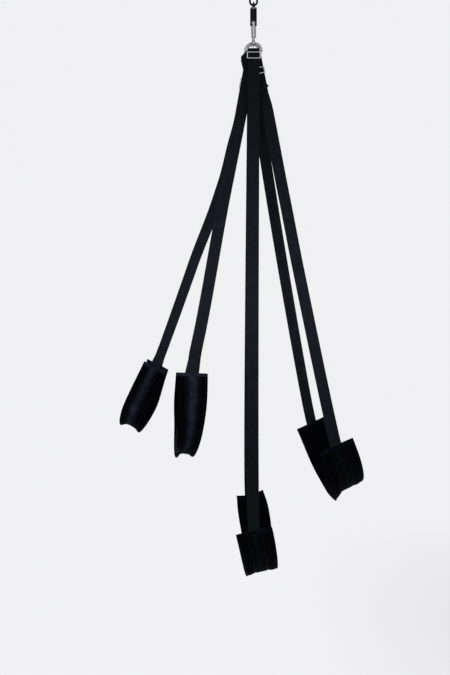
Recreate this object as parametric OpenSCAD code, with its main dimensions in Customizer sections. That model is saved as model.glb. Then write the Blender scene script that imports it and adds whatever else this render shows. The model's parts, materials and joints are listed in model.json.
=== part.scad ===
// Suspended sling swing: three padded webbing slings hung from one screw carabiner,
// a swivel and a chain link. All sizes in millimetres, +Z up.
// Origin: the point where the hook bears inside the top of the chain link.
// +X points towards the back sling and -X towards the leg slings. Left is -Y, right is +Y.

/* [Chain link] */
// Wire diameter of the chain link
link_wire = 6.5; // [5:0.5:8]
// Inner length of the chain link
link_pitch = 40; // [36:1:60]
// Outer width of the chain link
link_w = 30; // [28:1:40]

/* [Swivel] */
// Wire diameter of the upper eye
eye_wire = 6.5; // [5:0.5:7]
// Inner radius of the upper eye
eye_r = 4.3; // [4.2:0.1:5]
// Outer diameter of the swivel barrel
barrel_d = 22; // [21:1:30]
// Height of the grey cap that closes the barrel
cap_h = 5.2; // [4:0.2:8]
// Length of the barrel above its lower eye
barrel_l = 32; // [26:1:50]
// Diameter of the shank that turns in the cap
shank_d = 8; // [6:0.5:9]
// Width of the opening of the lower eye
lug_gap = 11; // [10.5:0.5:12]
// Thickness of the bar across the lower eye
lug_bar_d = 6.5; // [5:0.5:8]

/* [Carabiner] */
// Wire diameter of the carabiner
crab_wire = 8; // [6:0.5:9]
// Length of the carabiner over the wire
crab_l = 84; // [80:1:100]
// Outer width of the wide lower end
crab_base_w = 54; // [53:1:70]
// Bend radius of the narrow top, at the wire's centre
crab_top_r = 10; // [10:0.5:13]
// Bend radius of the two lower corners, at the wire's centre
crab_corner_r = 8; // [7.5:0.5:9]
// Outer diameter of the screw sleeve
sleeve_d = 17; // [14:0.5:18]
// Length of the screw sleeve
sleeve_l = 38; // [20:1:40]
// Travel of the screw sleeve from open to locked
sleeve_travel = 7; // [5:0.5:8]

/* [Rings and sliders] */
// Wire diameter of the D-rings
ring_wire = 5; // [4:0.25:5]
// Outer width of a D-ring
ring_w = 54; // [52:1:60]
// Outer height of a D-ring
ring_h = 36; // [34:1:42]
// Pitch of the rings along the carabiner's lower bar
ring_pitch = 5.6; // [5.5:0.1:5.8]
// Diameter of the slider bars
slider_bar_d = 2.6; // [2:0.1:3]
// Height of a slider
slider_h = 22; // [18:1:24]
// Thickness of the side rails of a slider
rail_t = 2.6; // [2:0.1:3.5]

/* [Webbing] */
// Width of the webbing
web_w = 38; // [30:1:40]
// Thickness of the webbing
web_t = 1.6; // [1.2:0.1:1.8]

/* [Seat sling] */
// Distance of the seat pad's middle behind the hanging line
seat_x = 1; // [-20:1:30]
// Level of the ends of the seat pad
seat_z = -1754; // [-1900:1:-1600]
// Half the distance between the ends of the seat pad
seat_half = 178; // [150:1:200]
// Depth of the seat pad below its ends
seat_depth = 190; // [150:1:220]
// Width of the seat pad
seat_pad_w = 120; // [90:1:150]
// Forward tilt of the seat pad
seat_tilt = 13; // [0:1:20]

/* [Back sling] */
// Distance of the back pad's ends behind the hanging line
back_x = 248; // [200:1:280]
// Level of the ends of the back pad
back_z = -1474; // [-1600:1:-1350]
// Half the distance between the ends of the back pad
back_half = 166; // [140:1:190]
// Depth of the back pad below its ends
back_depth = 190; // [150:1:220]
// Width of the back pad
back_pad_w = 120; // [90:1:150]
// Tilt of the back pad
back_tilt = 24; // [15:1:45]
// Turn of the back pad about the vertical
back_yaw = 6; // [0:1:10]

/* [Leg slings] */
// Height of a leg loop
loop_h = 256; // [220:1:300]
// Radius of the round lower end of a leg loop
loop_r = 71; // [60:1:90]
// Width of a leg pad
leg_pad_w = 92; // [80:1:120]
// Turn of each leg loop about the vertical
leg_yaw = 12; // [0:1:20]
// Distance of each leg loop's top to its side of the hanging line
leg_y = 262; // [230:1:300]
// Distance of the left leg loop's top in front of the hanging line
left_leg_x = 195; // [160:1:230]
// Level of the left leg loop's top
left_leg_z = -1224; // [-1300:1:-1150]
// Distance of the right leg loop's top in front of the hanging line
right_leg_x = 358; // [320:1:400]
// Level of the right leg loop's top
right_leg_z = -1273; // [-1350:1:-1200]

/* [Pads] */
// Thickness of the seat and back pads
pad_t = 13; // [9:0.5:18]
// Thickness of the leg pads
leg_pad_t = 10; // [8:0.5:12]

/* [Hidden] */
$fn = 48;
// a rod reaches this far into the bends at its ends, and is this much thinner than they are
lap = 0.6;
lap_step = 0.06;
// clearance between linked pieces
clear = 0.3;

// ---- rigid placements as 4 x 4 matrices ----
function move(v) = [[1, 0, 0, v[0]], [0, 1, 0, v[1]], [0, 0, 1, v[2]], [0, 0, 0, 1]];
function turn_x(a) = [[1, 0, 0, 0], [0, cos(a), -sin(a), 0], [0, sin(a), cos(a), 0], [0, 0, 0, 1]];
function turn_y(a) = [[cos(a), 0, sin(a), 0], [0, 1, 0, 0], [-sin(a), 0, cos(a), 0], [0, 0, 0, 1]];
function turn_z(a) = [[cos(a), -sin(a), 0, 0], [sin(a), cos(a), 0, 0], [0, 0, 1, 0], [0, 0, 0, 1]];
function place(m, p) = [for (i = [0:2]) m[i][0] * p[0] + m[i][1] * p[1] + m[i][2] * p[2] + m[i][3]];
function aim(m, d) = [for (i = [0:2]) m[i][0] * d[0] + m[i][1] * d[1] + m[i][2] * d[2]];
function unit(v) = v / norm(v);
function mix(a, b, t) = a + (b - a) * t;
function ease(t) = t * t * (3 - 2 * t);

// ---- hardware stack, from the top down ----
link_arc = (link_w - link_wire) / 2;
link_bottom_z = -link_pitch - link_wire / 2;
eye_arc = eye_r + eye_wire / 2;
eye_top_z = -link_pitch + clear + eye_wire / 2;
eye_centre_z = eye_top_z - eye_arc;
eye_leg_l = 5;
hub_t = 3;
hub_top_z = eye_centre_z - eye_leg_l;
cap_top_z = hub_top_z - hub_t - clear;
barrel_top_z = cap_top_z - cap_h;
shoulder_z = barrel_top_z - barrel_l;
bore_d = barrel_d - 6;
bore_l = 24;
nut_d = bore_d - 2;
nut_h = 7;
nut_edge = 1;
spigot_l = 5;
bearing_t = 5;
bearing_wall = 1.5;
bearing_balls = 9;
stack_gap = 0.1;
cap_edge = 0.8;
lug_h = 11;
hub_w = 10;
hub_r = eye_arc + eye_wire / 2 + 0.4;
lug_bar_z = shoulder_z - lug_h - lug_bar_d / 2;
lug_r = lug_bar_d / 2 + 2;

crab_top_z = lug_bar_z + lug_bar_d / 2 + clear + crab_wire / 2;
crab_arc_z = crab_top_z - crab_top_r;
pivot_z = crab_top_z + crab_wire / 2 - crab_l + crab_wire / 2;
corner_y = crab_base_w / 2 - crab_wire / 2 - crab_corner_r;
corner_z = pivot_z + crab_corner_r;
// side of the carabiner: common tangent of the top bend and a corner bend
side_run = norm([corner_y, crab_arc_z - corner_z]);
side_angle = atan2(corner_y, crab_arc_z - corner_z)
    - asin((crab_top_r - crab_corner_r) / side_run);
side_l = sqrt(side_run * side_run - pow(crab_top_r - crab_corner_r, 2));
gate_hinge = 6;
gate_l = 46;
gate_end = gate_hinge + gate_l;
gate_gap = 0.5;
tongue_t = 3.4;
tongue_w = crab_wire - 1;
slot_w = 4;
pin_d = 2.5;
nose_l = 2.6;
sleeve_start = gate_hinge + 4;
sleeve_bore = crab_wire + 0.6;
sleeve_grooves = 20;
slot_depth = crab_wire / 2 + 0.6;
spring_bore_d = 4.6;
spring_bore_l = 18;
spring_wire = 0.7;
spring_turns = 6;
pushrod_d = 4;
pushrod_l = 6;

// ---- frames of the pads: the ends lie at z = 0, the pad hangs along -z, its width runs along x ----
left_leg_swing = 4;
right_leg_swing = 25;
leg_splay = 8;
seat_frame = move([seat_x, 0, seat_z]) * turn_y(-seat_tilt);
back_frame = move([back_x, 0, back_z]) * turn_z(back_yaw) * turn_y(-back_tilt);
left_leg_frame = move([-left_leg_x, -leg_y, left_leg_z])
    * turn_z(leg_yaw) * turn_y(left_leg_swing) * turn_x(-leg_splay);
right_leg_frame = move([-right_leg_x, leg_y, right_leg_z])
    * turn_z(-leg_yaw) * turn_y(right_leg_swing) * turn_x(leg_splay);
pad_gap = 0.4;
groove_d = web_t + 2 * pad_gap;
// how far outside a pad's middle line the middle of the webbing runs
function web_out(t) = t / 2 - groove_d + pad_gap + web_t / 2;

// ---- straps: [side, lane, [ring lean, strap lean], swing, tail length, slider place] ----
// side -1 is left, 1 is right; lane counts from the middle of the carabiner's lower bar
lane_back = 0.5;
lane_leg = 1.5;
lane_seat = 2.5;
ring_lean_back = 4;
ring_lean_leg = 13.5;
ring_lean_seat = 29;
strap_lean_leg = 5.8;
seat_tail = 160;
left_back_tail = 118;
right_back_tail = 195;
leg_tail = 197;
seat_slider_s = slider_h / 2 + 8.2;
back_slider_s = 61;
leg_slider_s = 105;
ring_drop = ring_h - ring_wire;
ring_rise = crab_wire / 2 + clear + ring_wire / 2;
// frame of a ring: origin at the middle of its top, bar at z = -ring_drop
function top_frame(side, lane, lean, swing) = move([0, 0, pivot_z]) * turn_y(swing)
    * move([0, side * lane * ring_pitch, ring_rise]) * turn_x(side * lean);
// lean of a taut strap that runs straight from its ring to end
function taut_lean(side, lane, lean, swing, end) = let (
    bar = place(top_frame(side, lane, lean, swing), [0, 0, -ring_drop]),
    v = aim(turn_y(-swing), end - bar)
) atan2(side * v[1], -v[2]);
function seat_strap(side) = let (
    end = place(seat_frame, [0, side * (seat_half + web_out(pad_t)), 0]),
    lean = taut_lean(side, lane_seat, ring_lean_seat, 0, end)
) [side, lane_seat, [ring_lean_seat, lean], 0, seat_tail, seat_slider_s];
function back_strap(side, swing, tail) = let (
    end = place(back_frame, [0, side * (back_half + web_out(pad_t)), 0]),
    lean = taut_lean(side, lane_back, ring_lean_back, swing, end)
) [side, lane_back, [ring_lean_back, lean], swing, tail, back_slider_s];
function leg_strap(side, swing) =
    [side, lane_leg, [ring_lean_leg, strap_lean_leg], swing, leg_tail, leg_slider_s];
left_seat = seat_strap(-1);
right_seat = seat_strap(1);
left_back = back_strap(-1, -11, left_back_tail);
right_back = back_strap(1, -6, right_back_tail);
left_leg = leg_strap(-1, 10.3);
right_leg = leg_strap(1, 10.8);

ring_arc = (ring_w - ring_wire) / 2;
ring_corner = 4;
loop_in_r = ring_wire / 2 + clear;
loop_out_r = loop_in_r + web_t;
loop_meet = 8;
layer_gap = 0.2;
layer_y = (web_t + layer_gap) / 2;
sweep_inset = 0.05;
sweep_start = 6;

function ring_frame(s) = top_frame(s[0], s[1], s[2][0], s[3]);
// frame of a strap's straight top: origin at the ring's bar, strap along -z
function strap_frame(s) = ring_frame(s) * move([0, 0, -ring_drop])
    * turn_x(s[0] * (s[2][1] - s[2][0]));

// ---- sweeps ----
// a station is [centre, width direction]; a section is in (width, outward) coordinates
function tangent(st, i) = unit(st[min(i + 1, len(st) - 1)][0] - st[max(i - 1, 0)][0]);
function ring_of(st, i, section) = let (
    t = tangent(st, i),
    n = unit(cross(t, st[i][1])),
    w = cross(n, t)
) [for (p = section) st[i][0] + w * p[0] + n * p[1]];
module sweep(st, sections) {
    k = len(sections[0]);
    n = len(st);
    points = [for (i = [0:n - 1]) each ring_of(st, i, sections[i])];
    sides = [for (i = [0:n - 2], j = [0:k - 1]) let (a = i * k + j, b = i * k + (j + 1) % k)
        each [[a, a + k, b], [b, a + k, b + k]]];
    ends = [[for (j = [0:k - 1]) j], [for (j = [k - 1:-1:0]) (n - 1) * k + j]];
    polyhedron(points, concat(sides, ends), convexity = 6);
}
function web_section() = let (w = web_w / 2 - sweep_inset, t = web_t / 2 - sweep_inset)
    [[-w, -t], [w, -t], [w, t], [-w, t]];
module web_sweep(st) {
    sweep(st, [for (s = st) web_section()]);
}
function bezier(p, t) = pow(1 - t, 3) * p[0] + 3 * t * pow(1 - t, 2) * p[1]
    + 3 * t * t * (1 - t) * p[2] + pow(t, 3) * p[3];

// ---- pads ----

// a boxy half ellipse, for the seat and the back
pad_power = 0.75;
pad_steps = 30;
function cradle(half, depth) = [for (i = [0:pad_steps]) let (a = 180 * i / pad_steps)
    [-half * sign(cos(a)) * pow(abs(cos(a)), pad_power), -depth * pow(sin(a), pad_power)]];
// a teardrop, for a leg: two straight sides and a round lower end
loop_c = loop_h - loop_r;
loop_gap = 13;
loop_run = norm([loop_gap, loop_c]);
loop_lean = asin(loop_r / loop_run) - atan2(loop_gap, loop_c);
loop_side = sqrt(loop_run * loop_run - loop_r * loop_r);
side_steps = 6;
round_steps = 22;
teardrop = concat(
    [for (i = [0:side_steps - 1]) let (l = loop_side * i / side_steps)
        [-loop_gap - l * sin(loop_lean), -l * cos(loop_lean)]],
    [for (i = [0:round_steps]) let (a = 180 - loop_lean + (180 + 2 * loop_lean) * i / round_steps)
        [loop_r * cos(a), -loop_c + loop_r * sin(a)]],
    [for (i = [side_steps - 1:-1:0]) let (l = loop_side * i / side_steps)
        [loop_gap + l * sin(loop_lean), -l * cos(loop_lean)]]
);

groove_w = web_w + 3;
groove_slope = 1;
edge_r = 3;
hem_t = 6;
// section of a pad of width w: rounded edges, and a channel for the webbing on the outer face
function pad_section(w, t, th) = let (
    o = t / 2,
    i = t / 2 - th,
    r = min(edge_r, th / 2 - 0.2),
    g = groove_w / 2,
    f = o - groove_d
) [
    [-w / 2 + r, i], [w / 2 - r, i],
    for (a = [-60, -30, 0, 30, 60]) [w / 2 - r + r * cos(a), (a < 0 ? i + r : o - r) + r * sin(a)],
    [w / 2 - r, o], [g, o], [g - groove_slope, f], [groove_slope - g, f], [-g, o], [-w / 2 + r, o],
    for (a = [120, 150, 180, 210, 240]) [-w / 2 + r + r * cos(a), (a > 180 ? i + r : o - r) + r * sin(a)]
];
module pad(frame, outline, w, t) {
    n = len(outline);
    st = [for (p = outline) [place(frame, [0, p[0], p[1]]), aim(frame, [1, 0, 0])]];
    sweep(st, [for (i = [0:n - 1]) pad_section(w, t, i == 0 || i == n - 1 ? hem_t : t)]);
}
// the webbing's own line, outside a pad's middle line by d
function offset_line(outline, d) = let (n = len(outline)) [for (i = [0:n - 1]) let (
    t = unit(outline[min(i + 1, n - 1)] - outline[max(i - 1, 0)])
) outline[i] + d * [t[1], -t[0]]];
function web_line(outline, t) = offset_line(outline, web_out(t));

// ---- webbing ----
free_steps = 24;
top_pull = 130;
pad_pull = 40;
// stations from a strap's straight top down to a pad: the width turns near the pad
function free_run(s, frame, end, dir) = let (
    m = strap_frame(s),
    a = place(m, [0, -s[0] * layer_y, -s[4] - sweep_start]),
    b = place(frame, [0, end[0], end[1]]),
    p = [a, a + top_pull * aim(m, [0, 0, -1]), b - pad_pull * aim(frame, [0, dir[0], dir[1]]), b],
    wa = aim(m, [1, 0, 0]),
    wb = aim(frame, [1, 0, 0])
) [for (i = [0:free_steps]) let (t = i / free_steps) [bezier(p, t), unit(mix(wa, wb, ease(t)))]];
function reverse(v) = [for (i = [len(v) - 1:-1:0]) v[i]];
function along(frame, line) = [for (p = line) [place(frame, [0, p[0], p[1]]), aim(frame, [1, 0, 0])]];
function inner(v) = [for (i = [1:len(v) - 2]) v[i]];

// angle on a circle of radius r where the line from (d, -h) touches it
function touch(r, d, h) = acos(r / norm([d, h])) - atan2(h, d);
wrap_steps = 20;
function wrap(r, d) = let (a = touch(r, d, loop_meet))
    [for (i = [0:wrap_steps]) let (b = a + (180 - 2 * a) * i / wrap_steps) r * [cos(b), sin(b)]];
// the webbing's turn over a ring's bar, with the tail outside and the loaded layer inside
module strap_top(s) {
    out_y = web_t + layer_gap / 2;
    in_y = layer_gap / 2;
    tail = s[4];
    main = s[4] + 2 * sweep_start;
    outline = concat(
        [[out_y, -tail], [out_y, -loop_meet]], wrap(loop_out_r, out_y),
        [[-out_y, -loop_meet], [-out_y, -main], [-in_y, -main], [-in_y, -loop_meet]],
        reverse(wrap(loop_in_r, in_y)), [[in_y, -loop_meet], [in_y, -tail]]
    );
    multmatrix(strap_frame(s))
        rotate([90, 0, 90])
            linear_extrude(web_w, center = true)
                polygon([for (p = outline) [s[0] * p[0], p[1]]]);
}
module sling_webbing(left, right, frame, line) {
    n = len(line);
    first = free_run(left, frame, line[0], unit(line[1] - line[0]));
    last = free_run(right, frame, line[n - 1], unit(line[n - 2] - line[n - 1]));
    web_sweep(concat(first, inner(along(frame, line)), reverse(last)));
    strap_top(left);
    strap_top(right);
}
join_l = 45;
join_end = 80;
module leg_webbing(s, frame) {
    line = s[0] < 0 ? web_line(teardrop, leg_pad_t) : reverse(web_line(teardrop, leg_pad_t));
    first = free_run(s, frame, [0, join_l], [0, -1]);
    back_y = -s[0] * (web_t + 2 * layer_gap);
    web_sweep(concat(first, along(frame, line), along(frame, [[back_y, join_l], [back_y, join_end]])));
    strap_top(s);
}

// ---- sub-parts ----
BLACK_STEEL = "#1b1b1c";
GREY_STEEL = "#8e9092";
CHROME = "#c9cccf";
WEBBING = "#14151a";
VELOUR = "#0e0f13";

module chain_link() {
    arc_z = link_pitch / 2 + link_wire / 2 - link_arc;
    color(BLACK_STEEL)
        translate([0, 0, -link_pitch / 2])
            for (s = [-1, 1]) {
                translate([s * link_arc, 0, 0])
                    cylinder(d = link_wire, h = 2 * arc_z, center = true);
                translate([0, 0, s * arc_z])
                    rotate([90, s < 0 ? 180 : 0, 0])
                        rotate_extrude(angle = 180)
                            translate([link_arc, 0]) circle(d = link_wire);
            }
}

shank_end_z = barrel_top_z - spigot_l - bearing_t - nut_h - 3 * stack_gap - 1;
module swivel_eye() {
    color(BLACK_STEEL) {
        translate([0, 0, eye_centre_z]) {
            rotate([90, 0, 90])
                rotate_extrude(angle = 180)
                    translate([eye_arc, 0]) circle(d = eye_wire);
            for (s = [-1, 1])
                translate([0, s * eye_arc, -eye_leg_l - 1])
                    cylinder(d = eye_wire, h = eye_leg_l + 1);
        }
        intersection() {
            translate([0, 0, hub_top_z - hub_t])
                cylinder(r = hub_r, h = hub_t);
            translate([0, 0, hub_top_z])
                cube([hub_w, barrel_d * 2, 2 * hub_t], center = true);
        }
        translate([0, 0, shank_end_z])
            cylinder(d = shank_d, h = hub_top_z - hub_t / 2 - shank_end_z);
    }
}

bearing_top_z = barrel_top_z - spigot_l - stack_gap;
nut_top_z = bearing_top_z - bearing_t - stack_gap;
module swivel_nut() {
    color(GREY_STEEL)
        translate([0, 0, nut_top_z - nut_h])
            difference() {
                intersection() {
                    cylinder(d = nut_d, h = nut_h);
                    cylinder(d = nut_d + 2 * nut_edge - 0.6, h = nut_h, $fn = 6);
                }
                translate([0, 0, -1]) cylinder(d = shank_d + stack_gap, h = nut_h + 2);
            }
}

module swivel_cap() {
    r = barrel_d / 2;
    bore = shank_d / 2 + clear;
    spigot = bore_d / 2 - stack_gap;
    color(GREY_STEEL)
        translate([0, 0, barrel_top_z])
            rotate_extrude()
                polygon([
                    [bore, -spigot_l], [spigot, -spigot_l], [spigot, 0], [r, 0],
                    [r, cap_h - cap_edge], [r - cap_edge, cap_h], [bore, cap_h]
                ]);
}

module swivel_bearing() {
    ball_r = bearing_t / 2 - bearing_wall + 0.2;
    race_r = (shank_d + bore_d) / 4;
    color(CHROME)
        translate([0, 0, bearing_top_z - bearing_t]) {
            for (z = [0, bearing_t - bearing_wall])
                translate([0, 0, z])
                    difference() {
                        cylinder(d = bore_d - 0.4, h = bearing_wall);
                        translate([0, 0, -1]) cylinder(d = shank_d + 0.6, h = bearing_wall + 2);
                    }
            for (i = [0:bearing_balls - 1])
                rotate([0, 0, 360 * i / bearing_balls])
                    translate([race_r, 0, bearing_t / 2]) sphere(r = ball_r, $fn = 24);
        }
}

module swivel_body() {
    h = barrel_top_z - lug_bar_z + lug_r;
    arch_z = crab_top_z + crab_wire / 2 + 1.2 - lug_gap / 2;
    color(BLACK_STEEL) {
        difference() {
            intersection() {
                translate([0, 0, lug_bar_z - lug_r]) cylinder(d = barrel_d, h = h);
                rotate([90, 0, 90])
                    linear_extrude(2 * barrel_d, center = true) {
                        polygon([
                            [-barrel_d / 2, barrel_top_z], [-barrel_d / 2, shoulder_z], [-lug_r, lug_bar_z],
                            [lug_r, lug_bar_z], [barrel_d / 2, shoulder_z], [barrel_d / 2, barrel_top_z]
                        ]);
                        translate([0, lug_bar_z]) circle(r = lug_r);
                    }
            }
            translate([0, 0, barrel_top_z - bore_l]) cylinder(d = bore_d, h = bore_l + 1);
            translate([0, 0, arch_z]) rotate([90, 0, 0]) cylinder(d = lug_gap, h = 2 * barrel_d, center = true);
            translate([-lug_gap / 2, -barrel_d, lug_bar_z - 2 * lug_r])
                cube([lug_gap, 2 * barrel_d, arch_z - lug_bar_z + 2 * lug_r]);
        }
        translate([0, 0, lug_bar_z])
            rotate([0, 90, 0]) cylinder(d = lug_bar_d, h = lug_gap + 4, center = true);
    }
}

// ---- carabiner, in the plane x = 0 ----
function side_point(side, l) = [
    side * (crab_top_r * cos(side_angle) + l * sin(side_angle)),
    crab_arc_z + crab_top_r * sin(side_angle) - l * cos(side_angle)
];
module rod(p, q, d, lap_p = 0, lap_q = 0) {
    v = q - p;
    translate([0, p[0], p[1]])
        rotate([-atan2(v[0], v[1]), 0, 0])
            translate([0, 0, -lap_p]) cylinder(d = d, h = norm(v) + lap_p + lap_q);
}
module bend(c, r, a0, a1, d) {
    translate([0, c[0], c[1]])
        rotate([90, 0, 90])
            rotate([0, 0, a0])
                rotate_extrude(angle = a1 - a0)
                    translate([r, 0]) circle(d = d);
}
// places children at distance l down the gate's line, with z pointing back up it
module on_gate_line(l) {
    p = side_point(-1, l);
    translate([0, p[0], p[1]]) rotate([-side_angle, 0, 0]) children();
}

module carabiner_body() {
    stub_end = gate_hinge - crab_wire / 2 - gate_gap;
    rod_d = crab_wire - lap_step;
    color(CHROME) {
        bend([0, crab_arc_z], crab_top_r, side_angle, 180 - side_angle, crab_wire);
        rod(side_point(1, 0), side_point(1, side_l), rod_d, lap, lap);
        bend([corner_y, corner_z], crab_corner_r, -90, side_angle, crab_wire);
        rod([-corner_y, pivot_z], [corner_y, pivot_z], rod_d, lap, lap);
        bend([-corner_y, corner_z], crab_corner_r, 180 - side_angle, 270, crab_wire);
        // hinge stub with its tongue
        rod(side_point(-1, 0), side_point(-1, stub_end), rod_d, lap);
        difference() {
            union() {
                on_gate_line(gate_hinge) {
                    rotate([0, 90, 0]) cylinder(d = tongue_w, h = tongue_t, center = true);
                    translate([-tongue_t / 2, -tongue_w / 2, 0]) cube([tongue_t, tongue_w, gate_hinge - 1]);
                }
            }
            on_gate_line(gate_hinge) rotate([0, 90, 0]) cylinder(d = pin_d, h = 2 * crab_wire, center = true);
        }
        // nose with its tongue
        rod(side_point(-1, gate_end + gate_gap), side_point(-1, side_l), rod_d, 0, lap);
        on_gate_line(gate_end + gate_gap + 1)
            translate([-tongue_t / 2, -crab_wire / 2 + 1, 0]) cube([tongue_t, crab_wire - 2, nose_l + gate_gap + 1]);
    }
}

module gate() {
    color(CHROME)
        difference() {
            union() {
                rod(side_point(-1, gate_hinge), side_point(-1, gate_end), crab_wire);
                on_gate_line(gate_hinge) sphere(d = crab_wire);
            }
            on_gate_line(gate_hinge + slot_depth)
                translate([-slot_w / 2, -crab_wire, 0]) cube([slot_w, 2 * crab_wire, slot_depth + crab_wire]);
            on_gate_line(gate_end + 1)
                translate([-slot_w / 2, -crab_wire, 0]) cube([slot_w, 2 * crab_wire, nose_l + 1 + gate_gap]);
            on_gate_line(gate_hinge) rotate([0, 90, 0]) cylinder(d = pin_d, h = 2 * crab_wire, center = true);
            on_gate_line(gate_hinge + spring_bore_l) cylinder(d = spring_bore_d, h = spring_bore_l);
        }
}

module gate_pin() {
    color(GREY_STEEL)
        on_gate_line(gate_hinge)
            rotate([0, 90, 0]) cylinder(d = pin_d - 0.1, h = crab_wire - 0.6, center = true);
}

module gate_pushrod() {
    color(GREY_STEEL)
        on_gate_line(gate_hinge + crab_wire / 2 + 0.2 + pushrod_l)
            cylinder(d = pushrod_d, h = pushrod_l);
}

module gate_spring() {
    top = gate_hinge + crab_wire / 2 + 0.2 + pushrod_l + 0.2 + spring_wire / 2;
    run = gate_hinge + spring_bore_l - spring_wire / 2 - 0.2 - top;
    r = spring_bore_d / 2 - spring_wire / 2 - 0.2;
    n = spring_turns * 12;
    st = [for (i = [0:n]) let (a = 360 * spring_turns * i / n) [
        [r * cos(a), r * sin(a), -run * i / n], [0, 0, 1]
    ]];
    wire = [for (j = [0:5]) spring_wire / 2 * [cos(60 * j), sin(60 * j)]];
    color(GREY_STEEL)
        on_gate_line(top) sweep(st, [for (s = st) wire]);
}

module screw_sleeve() {
    color(CHROME)
        on_gate_line(sleeve_start + sleeve_l)
            difference() {
                rotate_extrude()
                    polygon([
                        [sleeve_bore / 2, 0], [sleeve_d / 2 - 1, 0], [sleeve_d / 2, 1],
                        [sleeve_d / 2, sleeve_l - 1], [sleeve_d / 2 - 1, sleeve_l], [sleeve_bore / 2, sleeve_l]
                    ]);
                for (i = [0:sleeve_grooves - 1])
                    rotate([0, 0, 360 * i / sleeve_grooves])
                        translate([sleeve_d / 2 + 0.3, 0, 3]) cylinder(r = 0.8, h = sleeve_l - 6, $fn = 16);
            }
}

module d_ring(s) {
    color(CHROME)
        multmatrix(ring_frame(s)) {
            translate([0, 0, -ring_arc])
                rotate([90, 0, 0])
                    rotate_extrude(angle = 180)
                        translate([ring_arc, 0]) circle(d = ring_wire);
            for (e = [-1, 1]) {
                translate([e * ring_arc, 0, -ring_drop + ring_corner])
                    cylinder(d = ring_wire, h = ring_drop - ring_corner - ring_arc);
                translate([e * (ring_arc - ring_corner), 0, -ring_drop + ring_corner])
                    rotate([90, 0, 0])
                        rotate([0, 0, e < 0 ? 180 : 270])
                            rotate_extrude(angle = 90)
                                translate([ring_corner, 0]) circle(d = ring_wire);
            }
            translate([0, 0, -ring_drop])
                rotate([0, 90, 0]) cylinder(d = ring_wire, h = 2 * (ring_arc - ring_corner), center = true);
        }
}

// three-bar slider: the webbing runs behind the two outer bars and in front of the middle one
module slider(s) {
    bar_y = web_t + layer_gap / 2 + clear + slider_bar_d / 2;
    half_t = bar_y + slider_bar_d / 2;
    rail_x = web_w / 2 + 0.6;
    bar_z = (slider_h - slider_bar_d) / 2;
    color(CHROME)
        multmatrix(strap_frame(s))
            translate([0, 0, -s[5]]) {
                for (e = [-1, 1])
                    translate([e * (rail_x + rail_t / 2), 0, 0])
                        rotate([90, 0, 90])
                            linear_extrude(rail_t, center = true)
                                polygon([for (p = [
                                    [half_t, -slider_h / 2], [half_t, slider_h / 2], [half_t - slider_bar_d, slider_h / 2],
                                    [-half_t, slider_h / 6], [-half_t, -slider_h / 6], [half_t - slider_bar_d, -slider_h / 2]
                                ]) [s[0] * p[0], p[1]]]);
                for (z = [-1, 0, 1])
                    translate([0, s[0] * (z == 0 ? -bar_y : bar_y), z * bar_z])
                        rotate([0, 90, 0]) cylinder(d = slider_bar_d, h = 2 * rail_x + 1, center = true);
            }
}

module left_seat_ring() { d_ring(left_seat); }
module right_seat_ring() { d_ring(right_seat); }
module left_back_ring() { d_ring(left_back); }
module right_back_ring() { d_ring(right_back); }
module left_leg_ring() { d_ring(left_leg); }
module right_leg_ring() { d_ring(right_leg); }
module left_seat_slider() { slider(left_seat); }
module right_seat_slider() { slider(right_seat); }
module left_back_slider() { slider(left_back); }
module right_back_slider() { slider(right_back); }
module left_leg_slider() { slider(left_leg); }
module right_leg_slider() { slider(right_leg); }

module seat_webbing() {
    color(WEBBING) sling_webbing(left_seat, right_seat, seat_frame, web_line(cradle(seat_half, seat_depth), pad_t));
}
module back_webbing() {
    color(WEBBING) sling_webbing(left_back, right_back, back_frame, web_line(cradle(back_half, back_depth), pad_t));
}
module left_leg_webbing() { color(WEBBING) leg_webbing(left_leg, left_leg_frame); }
module right_leg_webbing() { color(WEBBING) leg_webbing(right_leg, right_leg_frame); }

module seat_pad() { color(VELOUR) pad(seat_frame, cradle(seat_half, seat_depth), seat_pad_w, pad_t); }
module back_pad() { color(VELOUR) pad(back_frame, cradle(back_half, back_depth), back_pad_w, pad_t); }
module left_leg_pad() { color(VELOUR) pad(left_leg_frame, teardrop, leg_pad_w, leg_pad_t); }
module right_leg_pad() { color(VELOUR) pad(right_leg_frame, teardrop, leg_pad_w, leg_pad_t); }

chain_link();
swivel_eye();
swivel_nut();
swivel_cap();
swivel_bearing();
swivel_body();
carabiner_body();
gate();
gate_pin();
gate_spring();
gate_pushrod();
screw_sleeve();
left_seat_ring();
right_seat_ring();
left_back_ring();
right_back_ring();
left_leg_ring();
right_leg_ring();
left_seat_slider();
right_seat_slider();
left_back_slider();
right_back_slider();
left_leg_slider();
right_leg_slider();
seat_webbing();
back_webbing();
left_leg_webbing();
right_leg_webbing();
seat_pad();
back_pad();
left_leg_pad();
right_leg_pad();
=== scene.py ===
"""Looks of a suspended sling swing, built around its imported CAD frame. Sizes are in metres."""
import json
import math

import bpy
import numpy as np
from mathutils import Matrix, Vector


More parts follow.
